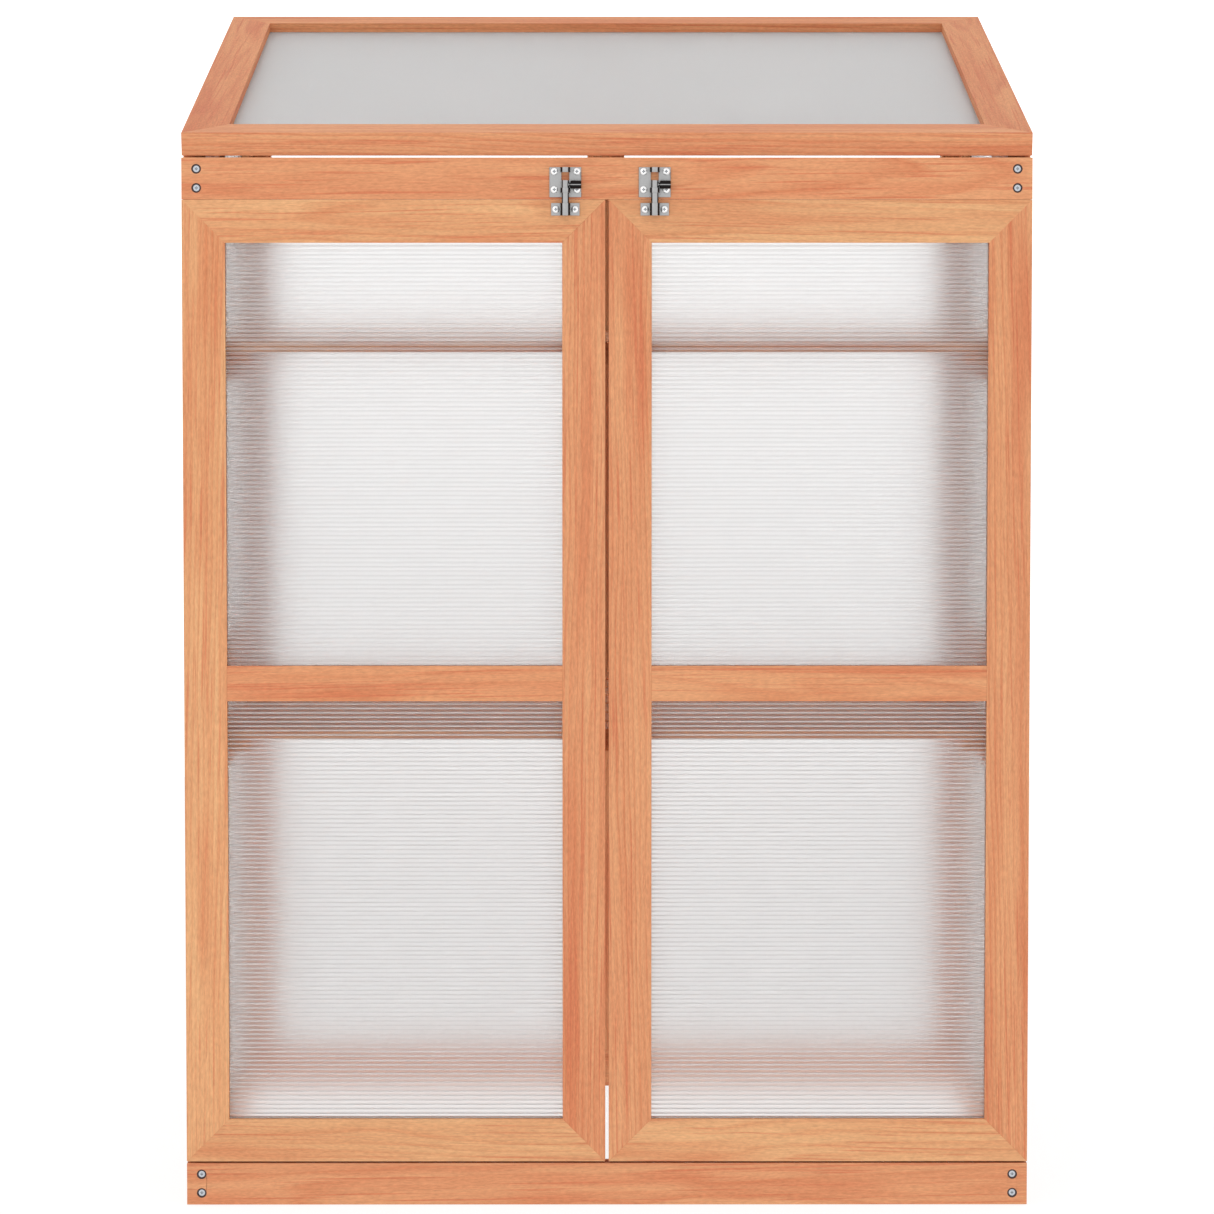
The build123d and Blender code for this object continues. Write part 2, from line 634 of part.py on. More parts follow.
# ---- fixed frame ----
def build_front_rails():
    """Both have square edges, so a wedge of daylight shows over the top one."""
    heights = {
        "front_bottom_rail": (0, BOTTOM_RAIL_H),
        "front_top_rail": (TOP_RAIL_BOTTOM, TOP_RAIL_BOTTOM + TOP_RAIL_H),
    }
    return {
        name: block((-HALF_W, FRONT, low), (HALF_W, SIDE_FRONT, high))
        for name, (low, high) in heights.items()
    }


def build_right_side():
    """The right side's boards and panes."""
    plane = Plane(origin=(SIDE_INNER, 0, 0), x_dir=(0, 1, 0), z_dir=(1, 0, 0))
    drop = STILE_W / cos(SLOPE)
    edges = [(y, height_under(FRAME_TOP, y)) for y in (OPENING_FRONT, OPENING_BACK)]
    mid_low = SIDE_MID_RAIL_Z - SIDE_MID_RAIL_H / 2
    mid_high = SIDE_MID_RAIL_Z + SIDE_MID_RAIL_H / 2
    tall = height_under(LID_TOP, BACK)
    outlines = {
        "front_stile": rectangle(SIDE_FRONT, OPENING_FRONT, 0, tall),
        "back_stile": rectangle(OPENING_BACK, SIDE_BACK, 0, tall),
        "bottom_rail": rectangle(OPENING_FRONT, OPENING_BACK, 0, BOTTOM_RAIL_H),
        "mid_rail": rectangle(OPENING_FRONT, OPENING_BACK, mid_low, mid_high),
        "top_rail": [(y, z - drop) for y, z in edges] + [(y, z) for y, z in reversed(edges)],
    }
    openings = [
        rectangle(OPENING_FRONT, OPENING_BACK, BOTTOM_RAIL_H, mid_low),
        [
            (OPENING_FRONT, mid_high),
            (OPENING_BACK, mid_high),
            (OPENING_BACK, edges[1][1] - drop),
            (OPENING_FRONT, edges[0][1] - drop),
        ],
    ]
    panes, room = panes_and_room(plane, openings, (SIDE_T - PANE_T) / 2)
    boards = {
        name: drilled(under_lid(slab(plane, corners, SIDE_T)), room)
        for name, corners in outlines.items()
    }
    edge = boards["front_stile"].edges().filter_by(Axis.Z).filter_by_position(
        Axis.Y, SIDE_FRONT, SIDE_FRONT
    )
    boards["front_stile"] = chamfer(edge.sort_by(Axis.X)[-1], HINGE_EDGE_CHAMFER)
    return boards, panes


def build_sides():
    boards, panes = build_right_side()
    nodes = {f"right_side_{name}": board for name, board in boards.items()}
    nodes["right_side_panes"] = joined(panes)
    for name, board in zip(boards, flipped(boards.values())):
        nodes[f"left_side_{name}"] = board
    nodes["left_side_panes"] = joined(flipped(panes))
    return nodes


def build_back():
    plane = Plane(origin=(0, BACK, 0), x_dir=(1, 0, 0), z_dir=(0, -1, 0))
    inner = HALF_W - STILE_W
    half = CENTRE_STILE_W / 2
    tall = height_under(LID_TOP, BACK)
    rail_bottom = height_under(FRAME_TOP, SIDE_BACK) - STILE_W
    outlines = {
        "back_left_stile": rectangle(-HALF_W, -inner, 0, tall),
        "back_right_stile": rectangle(inner, HALF_W, 0, tall),
        "back_centre_stile": rectangle(-half, half, BOTTOM_RAIL_H, rail_bottom),
        "back_bottom_rail": rectangle(-inner, inner, 0, BOTTOM_RAIL_H),
        "back_top_rail": rectangle(-inner, inner, rail_bottom, tall),
    }
    openings = [
        rectangle(-inner, -half, BOTTOM_RAIL_H, rail_bottom),
        rectangle(half, inner, BOTTOM_RAIL_H, rail_bottom),
    ]
    panes, room = panes_and_room(plane, openings, (BACK_T - PANE_T) / 2)
    nodes = {
        name: drilled(under_lid(slab(plane, corners, BACK_T)), room)
        for name, corners in outlines.items()
    }
    nodes["back_panes"] = joined(panes)
    return nodes


# ---- shelves ----
def build_shelf(top):
    slats = []
    for i in range(SLAT_COUNT):
        y = SHELF_FRONT + i * SLAT_PITCH
        slats.append(
            block((-SHELF_HALF_W, y, top - SLAT_T), (SHELF_HALF_W, y + SLAT_W, top))
        )
    under = top - SLAT_T
    battens = []
    for left in (-SHELF_HALF_W, -BATTEN_W / 2, SHELF_HALF_W - BATTEN_W):
        battens.append(
            block((left, SHELF_FRONT, under - BATTEN_T), (left + BATTEN_W, SHELF_BACK, under))
        )
    return joined(slats), joined(battens)


def build_cleats():
    """The ledges on the sides that carry the shelves, with their screws and holes."""
    cleats, spots = [], []
    for top in (UPPER_SHELF_Z, LOWER_SHELF_Z):
        high = top - SLAT_T - BATTEN_T
        cleats.append(
            block((SIDE_INNER - CLEAT_W, SIDE_FRONT, high - CLEAT_H), (SIDE_INNER, SIDE_BACK, high))
        )
        for y in (SIDE_FRONT + STILE_W / 2, SIDE_BACK - STILE_W / 2):
            spots.append(seat((SIDE_INNER - CLEAT_W, y, high - CLEAT_H / 2), (-1, 0, 0)))
    screws, holes = screws_at(spots, CLEAT_SCREW, rim=CLEAT_COUNTERSINK_R)
    cleats = [drilled(cleat, holes) for cleat in cleats]
    return cleats + flipped(cleats), screws + flipped(screws), holes + flipped(holes)


# ---- long screws that hold the frame together ----
def build_frame_screws():
    """Screws through the front rails and the back stiles into the sides."""
    x = HALF_W - SCREW_FROM_SIDE
    top = height_under(FRAME_TOP, FRONT) - SCREW_FROM_EDGE
    bottom = BOTTOM_RAIL_H - SCREW_FROM_EDGE
    rows = (top, top - SCREW_PITCH, bottom, bottom - SCREW_PITCH)
    spots = [seat((side * x, FRONT, z), (0, -1, 0)) for side in (-1, 1) for z in rows]
    back_top = height_under(FRAME_TOP, SIDE_BACK) - BACK_SCREW_DROP
    back_rows = (bottom, SIDE_MID_RAIL_Z, back_top)
    spots += [seat((side * x, BACK, z), (0, 1, 0)) for side in (-1, 1) for z in back_rows]
    return screws_at(spots, FRAME_SCREW, rim=FRAME_COUNTERSINK_R)


# ---- the whole object ----
def build_all():
    door_hinges, lid_hinges = build_door_hinges(), build_lid_hinges()
    plates = [build_bolt_plate(x) for x in BOLT_X]
    keepers = [build_keeper(x) for x in BOLT_X]
    cleats, cleat_screws, cleat_holes = build_cleats()
    track, track_screws, track_holes = build_stay_track()
    bracket, pivot, bracket_screws, bracket_holes = build_stay_bracket()
    long_screws, long_holes = build_frame_screws()
    door_leaves, leaf_screws, leaf_holes = door_hinges["frame"]
    lid_leaves, back_screws, back_holes = lid_hinges["frame"]

    frame_holes = long_holes + cleat_holes + track_holes + back_holes
    frame_holes += leaf_holes + flipped(leaf_holes) + plates[0][2] + plates[1][2]
    nodes = {**build_front_rails(), **build_sides(), **build_back()}
    nodes = {name: drilled(board, frame_holes) for name, board in nodes.items()}
    nodes["shelf_cleats"] = joined(cleats)
    nodes["frame_hinge_leaves"] = joined(door_leaves + flipped(door_leaves) + lid_leaves)
    pins = door_hinges["pins"]
    nodes["hinge_pins"] = joined(pins + flipped(pins) + lid_hinges["pins"])
    screws = long_screws + cleat_screws + track_screws + back_screws + leaf_screws
    nodes["frame_screws"] = joined(screws + flipped(leaf_screws) + plates[0][1] + plates[1][1])
    nodes["bolt_plates"] = joined([plates[0][0], plates[1][0]])
    nodes["lid_stay_track"] = track

    leaves, lid_screws, lid_holes = lid_hinges["lid"]
    for name, board in build_lid().items():
        nodes[name] = drilled(board, lid_holes + bracket_holes)
    nodes["lid_hinge_leaves"] = joined(leaves)
    nodes["lid_screws"] = joined(lid_screws + bracket_screws)
    nodes["lid_stay_bracket"] = bracket
    nodes["lid_stay_pivot"] = pivot
    nodes["lid_stay_arm"] = build_stay_arm()

    for side, x, keeper in zip(("left", "right"), BOLT_X, keepers):
        nodes.update(build_door(side, door_hinges["door"], keeper))
        nodes[f"{side}_bolt"] = joined(build_bolt(x))
    for name, top in (("upper", UPPER_SHELF_Z), ("lower", LOWER_SHELF_Z)):
        slats, battens = build_shelf(top)
        nodes[f"{name}_shelf_slats"] = slats
        nodes[f"{name}_shelf_battens"] = battens
    return nodes


os.makedirs("parts", exist_ok=True)
for node, shape in build_all().items():
    export_step(shape, f"parts/{node}.step")
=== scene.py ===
import json
import math
import random

import bmesh
import bpy
from mathutils import Matrix, Vector


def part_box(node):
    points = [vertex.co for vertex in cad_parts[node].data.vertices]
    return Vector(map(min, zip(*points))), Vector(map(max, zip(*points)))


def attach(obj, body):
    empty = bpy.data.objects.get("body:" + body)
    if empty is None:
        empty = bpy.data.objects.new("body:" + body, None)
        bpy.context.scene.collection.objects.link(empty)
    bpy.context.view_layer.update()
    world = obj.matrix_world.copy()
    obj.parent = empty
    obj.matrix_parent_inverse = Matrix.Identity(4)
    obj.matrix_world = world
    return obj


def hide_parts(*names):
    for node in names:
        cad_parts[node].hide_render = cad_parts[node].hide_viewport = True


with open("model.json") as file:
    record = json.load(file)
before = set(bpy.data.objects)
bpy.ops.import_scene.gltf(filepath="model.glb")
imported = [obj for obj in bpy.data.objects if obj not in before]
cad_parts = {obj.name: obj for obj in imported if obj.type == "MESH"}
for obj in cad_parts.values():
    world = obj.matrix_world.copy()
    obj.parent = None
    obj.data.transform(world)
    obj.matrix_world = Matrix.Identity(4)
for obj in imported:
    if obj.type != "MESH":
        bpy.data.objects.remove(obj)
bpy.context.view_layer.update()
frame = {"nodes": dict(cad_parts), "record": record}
MM = 0.001
NODES = frame["nodes"]


# ---- colours ----
def linear(r, g, b):
    """A display colour, 0 to 255, as linear light."""
    share = [c / 255 for c in (r, g, b)]
    return tuple(c / 12.92 if c <= 0.04045 else ((c + 0.055) / 1.055) ** 2.4 for c in share) + (1,)


WOOD_LIGHT = linear(228, 174, 126)
WOOD_MID = linear(220, 159, 114)
WOOD_LATE = linear(203, 120, 80)
WOOD_RED = linear(213, 138, 97)
WOOD_VEIN = linear(209, 127, 90)
WOOD_FIBRE = 0.15  # how far the finest grain lightens or darkens a board
REDDER = (0.985, 0.87, 0.88)  # what a redder board multiplies its colour by
BROWNER = (0.91, 0.74, 0.7)
ZINC = linear(178, 178, 178)
BOLT_STEEL = linear(176, 176, 176)
SILVER = linear(196, 201, 208)
BRIGHT = linear(250, 250, 250)
# painted shade: the dark in screw recesses and on the sides of the straps, bolt rods and knobs
PAINTED_DARK = linear(36, 33, 33)
# painted shade in the countersinks round the long screws' heads
RIM_PAINTED_SHADE = (linear(58, 46, 46), linear(84, 62, 56))


# ---- node helpers ----
def new_node(tree, kind, values=(), **settings):
    """A node with attributes from settings and input values from (socket, value) pairs."""
    node = tree.nodes.new(kind)
    for name, value in settings.items():
        setattr(node, name, value)
    for socket, value in values:
        if isinstance(value, bpy.types.NodeSocket):
            tree.links.new(value, node.inputs[socket])
        else:
            node.inputs[socket].default_value = value
    return node


def math_node(tree, operation, a, b=0.0):
    return new_node(tree, "ShaderNodeMath", [(0, a), (1, b)], operation=operation).outputs[0]


def noise(tree, vector, scale, detail=2.0, rough=0.5):
    values = [("Vector", vector), ("Scale", scale), ("Detail", detail), ("Roughness", rough)]
    return new_node(tree, "ShaderNodeTexNoise", values).outputs["Fac"]


def scaled(tree, vector, factors):
    values = [(0, vector), (1, factors)]
    return new_node(tree, "ShaderNodeVectorMath", values, operation="MULTIPLY").outputs[0]


def ramp(tree, factor, stops):
    """A colour ramp from (position, colour) pairs."""
    node = new_node(tree, "ShaderNodeValToRGB", [("Fac", factor)])
    elements = node.color_ramp.elements
    for element, (position, colour) in zip((elements[0], elements[-1]), (stops[0], stops[-1])):
        element.position = position
        element.color = colour
    for position, colour in stops[1:-1]:
        elements.new(position).color = colour
    return node.outputs["Color"]


def grey(value):
    return (value, value, value, 1)


def mix(tree, kind, factor, a, b):
    values = [(0, factor), (6, a), (7, b)]
    node = new_node(tree, "ShaderNodeMix", values, data_type="RGBA", blend_type=kind)
    return node.outputs[2]


def new_material(name):
    material = bpy.data.materials.new(name)
    material.use_nodes = True
    tree = material.node_tree
    return material, tree, tree.nodes["Principled BSDF"]


# ---- wood ----
RING = 4.2 * MM  # from one growth ring to the next
RING_WAVE = 22 * MM  # how far the rings wander off a true circle
RING_STRENGTH = 0.62
WOOD_ROUGH = (0.62, 0.52)  # between rings and on them
WOOD_GLOSS = 0.1
GRAIN_DEPTH = 0.12 * MM
GRAIN_BUMP = 0.35
GRAIN_LEAN = (0.022, 0.02)  # radians, in the wide face and out of it
BOARD_EDGE = 0.4 * MM
EDGE_STEPS = 2
EDGE_ANGLE = math.radians(35)


def wood_group():
    """Growth rings round the X axis with fibres along it. Input and output are in metres."""
    tree = bpy.data.node_groups.new("wood_grain", "ShaderNodeTree")
    tree.interface.new_socket("Vector", in_out="INPUT", socket_type="NodeSocketVector")
    for name, kind in (("Color", "NodeSocketColor"), ("Height", "NodeSocketFloat")):
        tree.interface.new_socket(name, in_out="OUTPUT", socket_type=kind)
    source = tree.nodes.new("NodeGroupInput").outputs["Vector"]

    warp = noise(tree, scaled(tree, source, (2.2, 16, 16)), 1.0, 3.0, 0.55)
    warp = math_node(tree, "MULTIPLY", math_node(tree, "SUBTRACT", warp, 0.5), RING_WAVE)
    split = new_node(tree, "ShaderNodeSeparateXYZ", [(0, source)])
    squares = [math_node(tree, "POWER", split.outputs[axis], 2.0) for axis in (1, 2)]
    radius = math_node(tree, "SQRT", math_node(tree, "ADD", *squares))
    radius = math_node(tree, "ADD", radius, warp)
    count = math_node(tree, "DIVIDE", radius, RING)
    phase = math_node(tree, "FRACT", count)
    ring = ramp(
        tree,
        phase,
        [(0.0, grey(0.12)), (0.1, grey(0.0)), (0.55, grey(0.22)), (0.86, grey(1.0)), (0.97, grey(0.4))],
    )
    strength = noise(tree, scaled(tree, source, (1.5, 40, 40)), 1.0, 2.0)
    strength = ramp(tree, strength, [(0.3, grey(0.15)), (0.7, grey(1.0))])
    ring = math_node(tree, "MULTIPLY", ring, strength)

    patches = noise(tree, scaled(tree, source, (3.0, 45, 45)), 1.0, 3.0, 0.6)
    patches = ramp(tree, patches, [(0.38, grey(0.0)), (0.68, grey(1.0))])
    base = mix(tree, "MIX", patches, WOOD_LIGHT, WOOD_MID)
    reds = noise(tree, scaled(tree, source, (2.0, 28, 28)), 1.7, 2.0, 0.5)
    reds = ramp(tree, reds, [(0.5, grey(0.0)), (0.72, grey(0.85))])
    base = mix(tree, "MIX", reds, base, WOOD_RED)
    colour = mix(tree, "MIX", math_node(tree, "MULTIPLY", ring, RING_STRENGTH), base, WOOD_LATE)

    streak = noise(tree, scaled(tree, source, (6, 430, 430)), 1.0, 2.0, 0.5)
    veins = ramp(tree, streak, [(0.56, grey(0.0)), (0.68, grey(0.75))])
    colour = mix(tree, "MIX", veins, colour, WOOD_VEIN)
    fibre = noise(tree, scaled(tree, source, (45, 1500, 1500)), 1.0, 3.0, 0.65)
    pores = noise(tree, scaled(tree, source, (170, 750, 750)), 1.0, 2.0, 0.6)
    fibre = math_node(tree, "MULTIPLY", fibre, 0.4)
    pores = math_node(tree, "MULTIPLY", pores, 0.6)
    fine = math_node(tree, "ADD", fibre, pores)
    shade = ramp(tree, fine, [(0.3, grey(1 - 1.3 * WOOD_FIBRE)), (0.7, grey(1.0 + WOOD_FIBRE))])
    colour = mix(tree, "MULTIPLY", 1.0, colour, shade)
    height = math_node(tree, "ADD", fine, math_node(tree, "MULTIPLY", ring, 0.4))
    new_node(tree, "NodeGroupOutput", [("Color", colour), ("Height", height)])
    return tree


WOOD = wood_group()


def wood_material(name, grain, face, centre, rng, far, side, tone):
    """Wood for one board. grain is its length, face the normal of its wide side.

    far and side are the ranges for the way from the board's middle to the heart of its tree.
    """
    material, tree, shader = new_material("wood_" + name)
    across = face.cross(grain)
    turn = Matrix((grain, across, face))
    flat, deep = GRAIN_LEAN
    lean = Matrix.Rotation(rng.uniform(-flat, flat), 3, "Z")
    lean = lean @ Matrix.Rotation(rng.uniform(-deep, deep), 3, "Y")
    turn = lean @ turn
    pith = Vector((rng.uniform(-4, 4), rng.choice((-1, 1)) * rng.uniform(*side), -rng.uniform(*far)))
    place = tree.nodes.new("ShaderNodeTexCoord").outputs["Object"]
    values = [("Vector", place), ("Location", pith - turn @ centre), ("Rotation", turn.to_euler("XYZ"))]
    mapped = new_node(tree, "ShaderNodeMapping", values, vector_type="POINT").outputs[0]
    grain_node = new_node(tree, "ShaderNodeGroup", node_tree=WOOD)
    tree.links.new(mapped, grain_node.inputs["Vector"])
    lightness = rng.uniform(0.97, 1.02)
    tint = tuple(lightness * part for part in tone) + (1,)
    colour = mix(tree, "MULTIPLY", 1.0, grain_node.outputs["Color"], tint)
    tree.links.new(colour, shader.inputs["Base Color"])
    height = grain_node.outputs["Height"]
    values = [("Value", height), ("To Min", WOOD_ROUGH[0]), ("To Max", WOOD_ROUGH[1])]
    rough = new_node(tree, "ShaderNodeMapRange", values)
    tree.links.new(rough.outputs[0], shader.inputs["Roughness"])
    values = [("Strength", GRAIN_BUMP), ("Distance", GRAIN_DEPTH), ("Height", height)]
    bump = new_node(tree, "ShaderNodeBump", values)
    tree.links.new(bump.outputs[0], shader.inputs["Normal"])
    shader.inputs["Specular IOR Level"].default_value = WOOD_GLOSS
    return material


def middle(low, high):
    return (low + high) / 2


def shape_edges(node, width):
    """Eased edges on a CAD piece."""
    piece = NODES[node]
    weld = piece.modifiers.new("weld", "WELD")
    weld.merge_threshold = 0.01 * MM
    bevel = piece.modifiers.new("eased_edges", "BEVEL")
    bevel.width = width
    bevel.segments = EDGE_STEPS
    bevel.limit_method = "ANGLE"
    bevel.angle_limit = EDGE_ANGLE
    bevel.use_clamp_overlap = True


def set_material(piece, material):
    piece.data.materials.clear()
    piece.data.materials.append(material)


X, Y, Z = Vector((1, 0, 0)), Vector((0, 1, 0)), Vector((0, 0, 1))
FRONT_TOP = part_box("lid_front_rail")
BACK_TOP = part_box("lid_back_rail")
FRONT_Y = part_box("front_bottom_rail")[0].y
BACK_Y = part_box("back_bottom_rail")[1].y
SLOPE = math.atan2(BACK_TOP[1].z - FRONT_TOP[1].z, BACK_TOP[1].y - FRONT_TOP[1].y)
UP_LID = Vector((0, math.cos(SLOPE), math.sin(SLOPE)))
OUT_LID = Vector((0, -math.sin(SLOPE), math.cos(SLOPE)))


FIRST_SEED = 100
RAIL_HEART = ((0.02, 0.06), (0.0, 0.03))  # metres behind and beside the board's middle
STILE_HEART = ((0.01, 0.04), (0.03, 0.07))
PALE_BOARDS = (
    "left_door_hinge_stile",
    "left_door_top_rail",
    "left_door_bottom_rail",
    "right_door_top_rail",
    "right_door_bottom_rail",
)


def board_axes(node):
    """(grain, normal of the wide face) of a wooden node."""
    if node.startswith("lid_"):
        return (UP_LID, OUT_LID) if node in ("lid_left_rail", "lid_right_rail") else (X, OUT_LID)
    if "_side_top_rail" in node:
        return UP_LID, X
    if "_side_" in node:
        return (Z, X) if node.endswith("stile") else (Y, X)
    if node == "shelf_cleats" or node.endswith("battens"):
        return Y, Z
    if node.endswith("slats"):
        return X, Z
    return (Z, Y) if node.endswith("stile") else (X, Y)


def board_tone(node):
    """The boards aren't all from one tree: most are redder than the palest ones."""
    if node in PALE_BOARDS:
        return (1, 1, 1)
    return BROWNER if node.startswith("lid_") and node != "lid_front_rail" else REDDER


def is_wood(node):
    return node.endswith(("stile", "rail", "slats", "battens", "cleats"))


def dress_boards():
    for i, node in enumerate(sorted(n for n in NODES if is_wood(n))):
        rng = random.Random(FIRST_SEED + i)
        grain, face = board_axes(node)
        far, side = STILE_HEART if node.endswith("stile") else RAIL_HEART
        centre = middle(*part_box(node))
        material = wood_material(node, grain, face, centre, rng, far, side, board_tone(node))
        set_material(NODES[node], material)
        shape_edges(node, BOARD_EDGE)


# ---- metal ----
MOTTLE = 0.05
DULL, POLISHED = 0.42, 0.3  # roughness
PLATE_EDGE = 0.25 * MM
RECESS_REACH = 1.2 * MM
ROD_R = 3.2 * MM


def metal_material(name, colour, rough, dark=None, proud=None):
    """Plated metal, slightly mottled. dark is a factor that paints shade onto it.

    proud is the colour of the heads that stand out of the doors and the front rails.
    """
    material, tree, shader = new_material(name)
    place = tree.nodes.new("ShaderNodeTexCoord").outputs["Object"]
    mottle = noise(tree, place, 900.0, 3.0, 0.6)
    shade = ramp(tree, mottle, [(0.3, grey(1 - MOTTLE)), (0.7, grey(1 + MOTTLE))])
    if proud:
        y = new_node(tree, "ShaderNodeSeparateXYZ", [(0, place)]).outputs["Y"]
        colour = mix(tree, "MIX", math_node(tree, "LESS_THAN", y, FRONT_Y - MM), colour, proud)
    shaded = mix(tree, "MULTIPLY", 1.0, colour, shade)
    # painted shade: near black mixed in where dark is 1
    if dark:
        shaded = mix(tree, "MIX", dark(tree, place), shaded, PAINTED_DARK)
    tree.links.new(shaded, shader.inputs["Base Color"])
    values = [("Value", mottle), ("To Min", rough - 0.06), ("To Max", rough + 0.08)]
    spread = new_node(tree, "ShaderNodeMapRange", values)
    tree.links.new(spread.outputs[0], shader.inputs["Roughness"])
    shader.inputs["Metallic"].default_value = 1.0
    return material


def steep(tree, axis, start, end):
    """1 on faces that turn towards an axis by more than end, 0 below start."""
    normal = tree.nodes.new("ShaderNodeTexCoord").outputs["Normal"]
    split = new_node(tree, "ShaderNodeSeparateXYZ", [(0, normal)])
    turn = math_node(tree, "ABSOLUTE", split.outputs[axis])
    return ramp(tree, turn, [(start, grey(0.0)), (end, grey(1.0))])


def painted_recess_shade(tree, place):
    """Painted shade: 1 deep in a screw's cross recess, 0 in the open."""
    values = [("Distance", RECESS_REACH)]
    open_sky = new_node(tree, "ShaderNodeAmbientOcclusion", values, samples=8).outputs["AO"]
    return ramp(tree, open_sky, [(0.45, grey(0.8)), (0.8, grey(0.0))])


# Painted shade: the strap's faces that turn sideways are darkened.
def strap_painted_shade(tree, place):
    return steep(tree, "X", 0.5, 0.62)


def bolt_shading(edge):
    """Painted shade on the rod's sides and round the knob beyond edge, with a painted highlight: a grey
    line along the knob's middle.
    """

    def dark(tree, place):
        x = new_node(tree, "ShaderNodeSeparateXYZ", [(0, place)]).outputs["X"]
        knob = math_node(tree, "GREATER_THAN", x, edge)
        return mix(tree, "MIX", knob, steep(tree, "X", 0.6, 0.75), steep(tree, "Z", 0.03, 0.16))

    return dark


def dress_metal():
    zinc = metal_material("zinc_plate", ZINC, DULL)
    strap = metal_material("zinc_strap", ZINC, DULL, strap_painted_shade)
    bright = metal_material("bright_screw", SILVER, POLISHED, painted_recess_shade, BRIGHT)
    finish = {"zinc": zinc, "steel": bright}
    for part in frame["record"]["subparts"]:
        if part["material_slot"] in finish:
            set_material(NODES[part["node"]], finish[part["material_slot"]])
    for node in ("bolt_plates", "left_door_bolt_keeper", "right_door_bolt_keeper"):
        set_material(NODES[node], strap)
        shape_edges(node, PLATE_EDGE)
    for node in ("left_bolt", "right_bolt"):
        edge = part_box(node)[0].x + 2 * ROD_R
        set_material(NODES[node], metal_material(node, BOLT_STEEL, POLISHED, bolt_shading(edge)))


# ---- painted shade: dark rims where the long screws sink into the boards ----
LONG_SCREW = 40 * MM
SINK_R = 4.4 * MM
HEAD_R = 2.9 * MM
RIM_GAP = 0.03 * MM
RIM_T = 0.06 * MM
RIM_SIDES = 32


def islands(node):
    """The vertices of each separate solid of a CAD node."""
    mesh = bmesh.new()
    mesh.from_mesh(NODES[node].data)
    bmesh.ops.remove_doubles(mesh, verts=mesh.verts, dist=0.001 * MM)
    left = set(mesh.verts)
    while left:
        group, queue = [], [left.pop()]
        while queue:
            vert = queue.pop()
            group.append(vert.co.copy())
            for edge in vert.link_edges:
                other = edge.other_vert(vert)
                if other in left:
                    left.remove(other)
                    queue.append(other)
        yield group
    mesh.free()


def build_rims():
    """Thin dark cones of painted shade that line the countersinks round the long screws' heads."""
    mesh = bmesh.new()
    wall = SINK_R - HEAD_R - RIM_GAP
    profile = [
        (SINK_R - RIM_GAP, RIM_GAP),
        (HEAD_R, wall),
        (HEAD_R - RIM_T, wall - RIM_T),
        (SINK_R - RIM_GAP - RIM_T, RIM_GAP),
    ]
    for points in islands("frame_screws"):
        (x0, x1), (y0, y1), (z0, z1) = spans(points, (X, Y, Z))
        if y1 - y0 < LONG_SCREW:
            continue
        face, inward = (FRONT_Y, 1) if y0 < 0 else (BACK_Y, -1)
        rings = []
        for radius, depth in profile:
            ring = []
            for i in range(RIM_SIDES):
                turn = 2 * math.pi * i / RIM_SIDES
                x = (x0 + x1) / 2 + radius * math.cos(turn)
                z = (z0 + z1) / 2 + radius * math.sin(turn)
                ring.append(mesh.verts.new((x, face + inward * depth, z)))
            rings.append(ring)
        for ring, following in zip(rings, rings[1:] + rings[:1]):
            for i in range(RIM_SIDES):
                j = (i + 1) % RIM_SIDES
                mesh.faces.new((ring[i], ring[j], following[j], following[i]))
    bmesh.ops.recalc_face_normals(mesh, faces=mesh.faces)
    piece = finished_piece("countersink_painted_shade", mesh, painted_rim_shade_material())
    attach(piece, "frame")


# Painted shade for the countersink rims: near black with faint specks.
def painted_rim_shade_material():
    material, tree, shader = new_material("painted_countersink_shade")
    place = tree.nodes.new("ShaderNodeTexCoord").outputs["Object"]
    specks = noise(tree, place, 1200.0)
    colour = ramp(tree, specks, [(0.3, RIM_PAINTED_SHADE[0]), (0.7, RIM_PAINTED_SHADE[1])])
    tree.links.new(colour, shader.inputs["Base Color"])
    shader.inputs["Roughness"].default_value = 0.8
    return material


def finished_piece(name, mesh, material):
    """A Blender object made from a bmesh."""
    data = bpy.data.meshes.new(name)
    mesh.to_mesh(data)
    mesh.free()
    piece = bpy.data.objects.new(name, data)
    bpy.context.scene.collection.objects.link(piece)
    set_material(piece, material)
    return piece


# ---- twin-wall panes ----
FLUTE = 4.0 * MM  # from one rib to the next
RIB = 0.55 * MM
SKIN = 0.5 * MM
RIPPLE = 0.05 * MM  # how far the faces sink at a rib
CLEAR = 0.97  # share that a flute lets through
LID_CLEAR = 0.75
RIB_CLEAR = 0.68
FLUTE_TINT, RIB_TINT = 0.96, 0.8


def sheet_material(name, across, clear):
    """Milky twin-wall sheet: flutes that let a share, clear, through between lines at the ribs."""
    material, tree, shader = new_material(name)
    place = tree.nodes.new("ShaderNodeTexCoord").outputs["Object"]
    values = [(0, place), (1, across / FLUTE)]
    along = new_node(tree, "ShaderNodeVectorMath", values, operation="DOT_PRODUCT").outputs["Value"]
    phase = math_node(tree, "FRACT", along)
    shares = (("Base Color", FLUTE_TINT, RIB_TINT), ("Transmission Weight", clear, RIB_CLEAR))
    for socket, flute, rib in shares:
        stops = [(0.5, flute), (0.6, rib), (0.72, rib), (0.82, flute)]
        stripes = ramp(tree, phase, [(at, grey(value)) for at, value in stops])
        tree.links.new(stripes, shader.inputs[socket])
    shader.inputs["Roughness"].default_value = 0.4
    shader.inputs["IOR"].default_value = 1.12
    return material


def rib_material():
    material, tree, shader = new_material("twin_wall_rib")
    shader.inputs["Base Color"].default_value = (0.98, 0.98, 0.98, 1)
    shader.inputs["Transmission Weight"].default_value = 0.6
    shader.inputs["Roughness"].default_value = 0.5
    shader.inputs["IOR"].default_value = 1.2
    return material


